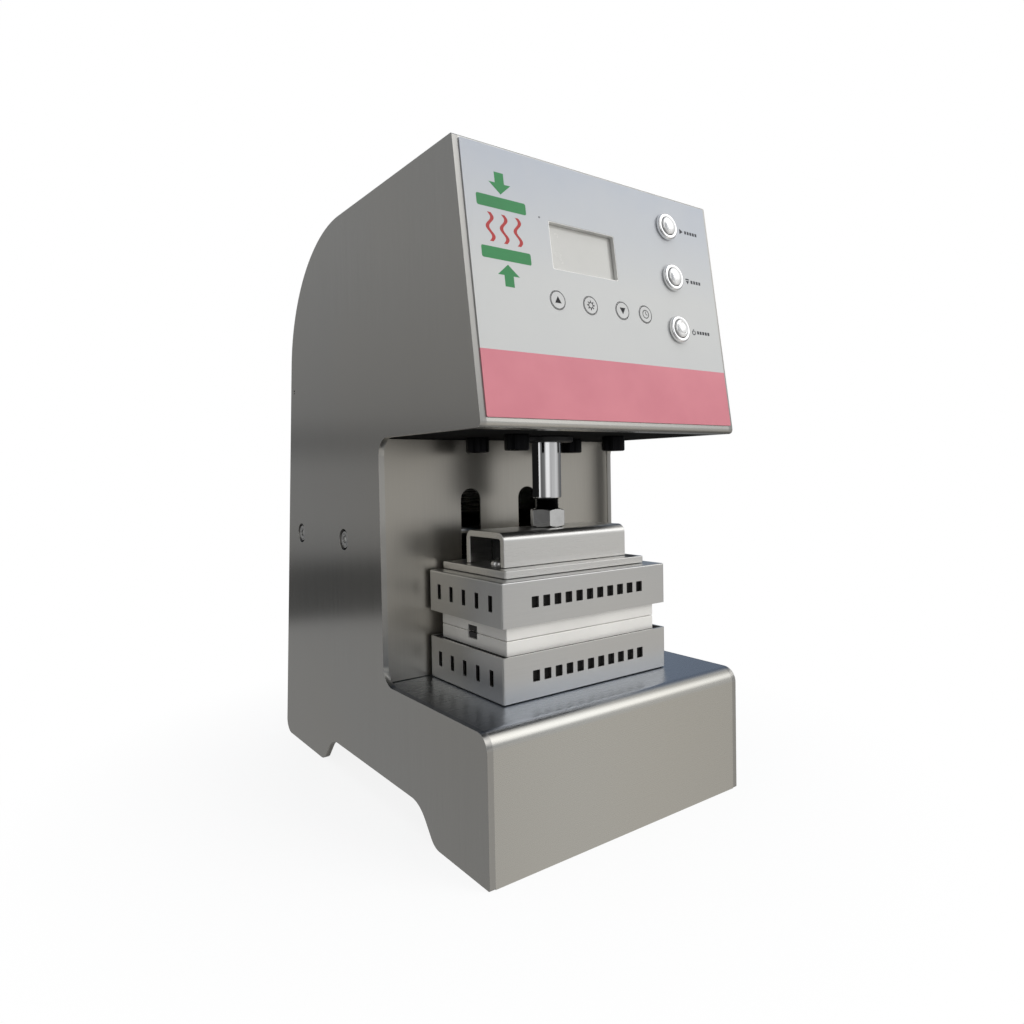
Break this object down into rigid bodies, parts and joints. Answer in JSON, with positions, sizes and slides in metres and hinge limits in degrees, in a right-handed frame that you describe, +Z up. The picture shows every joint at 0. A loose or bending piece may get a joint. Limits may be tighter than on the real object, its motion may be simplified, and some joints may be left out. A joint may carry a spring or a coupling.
{
  "type": "heated plate press",
  "caption": "Benchtop C-frame press with a vertical ram, two caged heated platens, a leaning control panel with push buttons, keys and a display, and a rounded sheet steel back.",
  "frame": {"origin": "middle of the footprint, on the surface that the press stands on", "axes": "+Z up along the ram, +X to the right seen from the front, the control panel faces -Y"},
  "size_m": [0.21, 0.3179, 0.41],
  "materials": {
    "brushed_steel": "stainless sheet, brushed along its length",
    "bolt_steel": "bright machined steel",
    "press_steel": "fine brushed stainless sheet",
    "black_bolt": "black oxide",
    "chrome": "polished chrome",
    "heater_sheath": "drawn steel sheath",
    "platen_aluminium": "bright milled aluminium",
    "cylinder_aluminium": "satin anodised",
    "overlay_print": "printed satin film, light grey with a red band",
    "window": "smooth tinted window",
    "circuit_board": "lacquered board",
    "insulation": "glass fibre board",
    "black_plastic": "fine moulded grain",
    "seal_rubber": "nitrile rubber",
    "brass": "nickel brass"
  },
  "bodies": {
    "body": {"side_plate_left": "brushed_steel", "side_plate_right": "brushed_steel", "base_cover": "brushed_steel", "throat_wall": "brushed_steel", "control_panel": "brushed_steel", "top_back_cover": "brushed_steel", "bottom_plate": "brushed_steel", "head_plate": "brushed_steel", "side_bolt_left_front": "bolt_steel", "side_bolt_left_rear": "bolt_steel", "side_bolt_right_front": "bolt_steel", "side_bolt_right_rear": "bolt_steel", "cross_bar_front": "bolt_steel", "cross_bar_rear": "bolt_steel", "lower_cage": "press_steel", "cylinder_bolt_1": "black_bolt", "cylinder_bolt_2": "black_bolt", "cylinder_bolt_3": "black_bolt", "cylinder_bolt_4": "black_bolt", "button_start_housing": "chrome", "button_release_housing": "chrome", "button_power_housing": "chrome", "lower_heater_front": "heater_sheath", "lower_heater_rear": "heater_sheath", "lower_platen": "platen_aluminium", "cylinder_front_cap": "cylinder_aluminium", "cylinder_rear_cap": "cylinder_aluminium", "cylinder_barrel": "cylinder_aluminium", "solenoid_valve": "cylinder_aluminium", "power_supply": "cylinder_aluminium", "panel_overlay": "overlay_print", "display_lens": "window", "control_board": "circuit_board", "lower_insulator": "insulation", "rod_gland": "black_plastic", "power_inlet": "black_plastic", "power_switch_frame": "black_plastic", "heater_relay_lower": "black_plastic", "heater_relay_upper": "black_plastic", "air_nipple": "brass"},
    "ram": {"piston": "cylinder_aluminium", "piston_seal": "seal_rubber", "piston_rod": "chrome", "rod_jam_nut": "bolt_steel", "rod_lock_nut": "bolt_steel", "channel_bracket": "press_steel", "upper_mount_plate": "press_steel", "upper_cage": "press_steel", "upper_insulator": "insulation", "upper_platen": "platen_aluminium", "upper_heater_front": "heater_sheath", "upper_heater_rear": "heater_sheath"},
    "start_button": {"button_start_cap": "chrome"},
    "release_button": {"button_release_cap": "chrome"},
    "power_button": {"button_power_cap": "chrome"},
    "key_up_pad": {"key_up": "overlay_print"},
    "key_set_pad": {"key_set": "overlay_print"},
    "key_down_pad": {"key_down": "overlay_print"},
    "key_timer_pad": {"key_timer": "overlay_print"},
    "rocker": {"power_switch_rocker": "black_plastic"}
  },
  "joints": [
    {"name": "ram_slide", "type": "slide", "parent": "body", "child": "ram", "axis": [0, 0, 1], "range_m": [0, 0.04]},
    {"name": "start_button_press", "type": "slide", "parent": "body", "child": "start_button", "axis": [0, 0.9894, -0.1454], "range_m": [0, 0.0015], "stiffness_N_per_m": 700},
    {"name": "release_button_press", "type": "slide", "parent": "body", "child": "release_button", "axis": [0, 0.9894, -0.1454], "range_m": [0, 0.0015], "stiffness_N_per_m": 700},
    {"name": "power_button_press", "type": "slide", "parent": "body", "child": "power_button", "axis": [0, 0.9894, -0.1454], "range_m": [0, 0.0015], "stiffness_N_per_m": 700},
    {"name": "key_up_press", "type": "slide", "parent": "body", "child": "key_up_pad", "axis": [0, 0.9894, -0.1454], "range_m": [0, 0.0006], "stiffness_N_per_m": 1200},
    {"name": "key_set_press", "type": "slide", "parent": "body", "child": "key_set_pad", "axis": [0, 0.9894, -0.1454], "range_m": [0, 0.0006], "stiffness_N_per_m": 1200},
    {"name": "key_down_press", "type": "slide", "parent": "body", "child": "key_down_pad", "axis": [0, 0.9894, -0.1454], "range_m": [0, 0.0006], "stiffness_N_per_m": 1200},
    {"name": "key_timer_press", "type": "slide", "parent": "body", "child": "key_timer_pad", "axis": [0, 0.9894, -0.1454], "range_m": [0, 0.0006], "stiffness_N_per_m": 1200},
    {"name": "rocker_tip", "type": "hinge", "parent": "body", "child": "rocker", "pos_m": [-0.002, 0.15251, 0.06958], "axis": [-1, 0, 0], "range_deg": [-16, 0]}
  ]
}
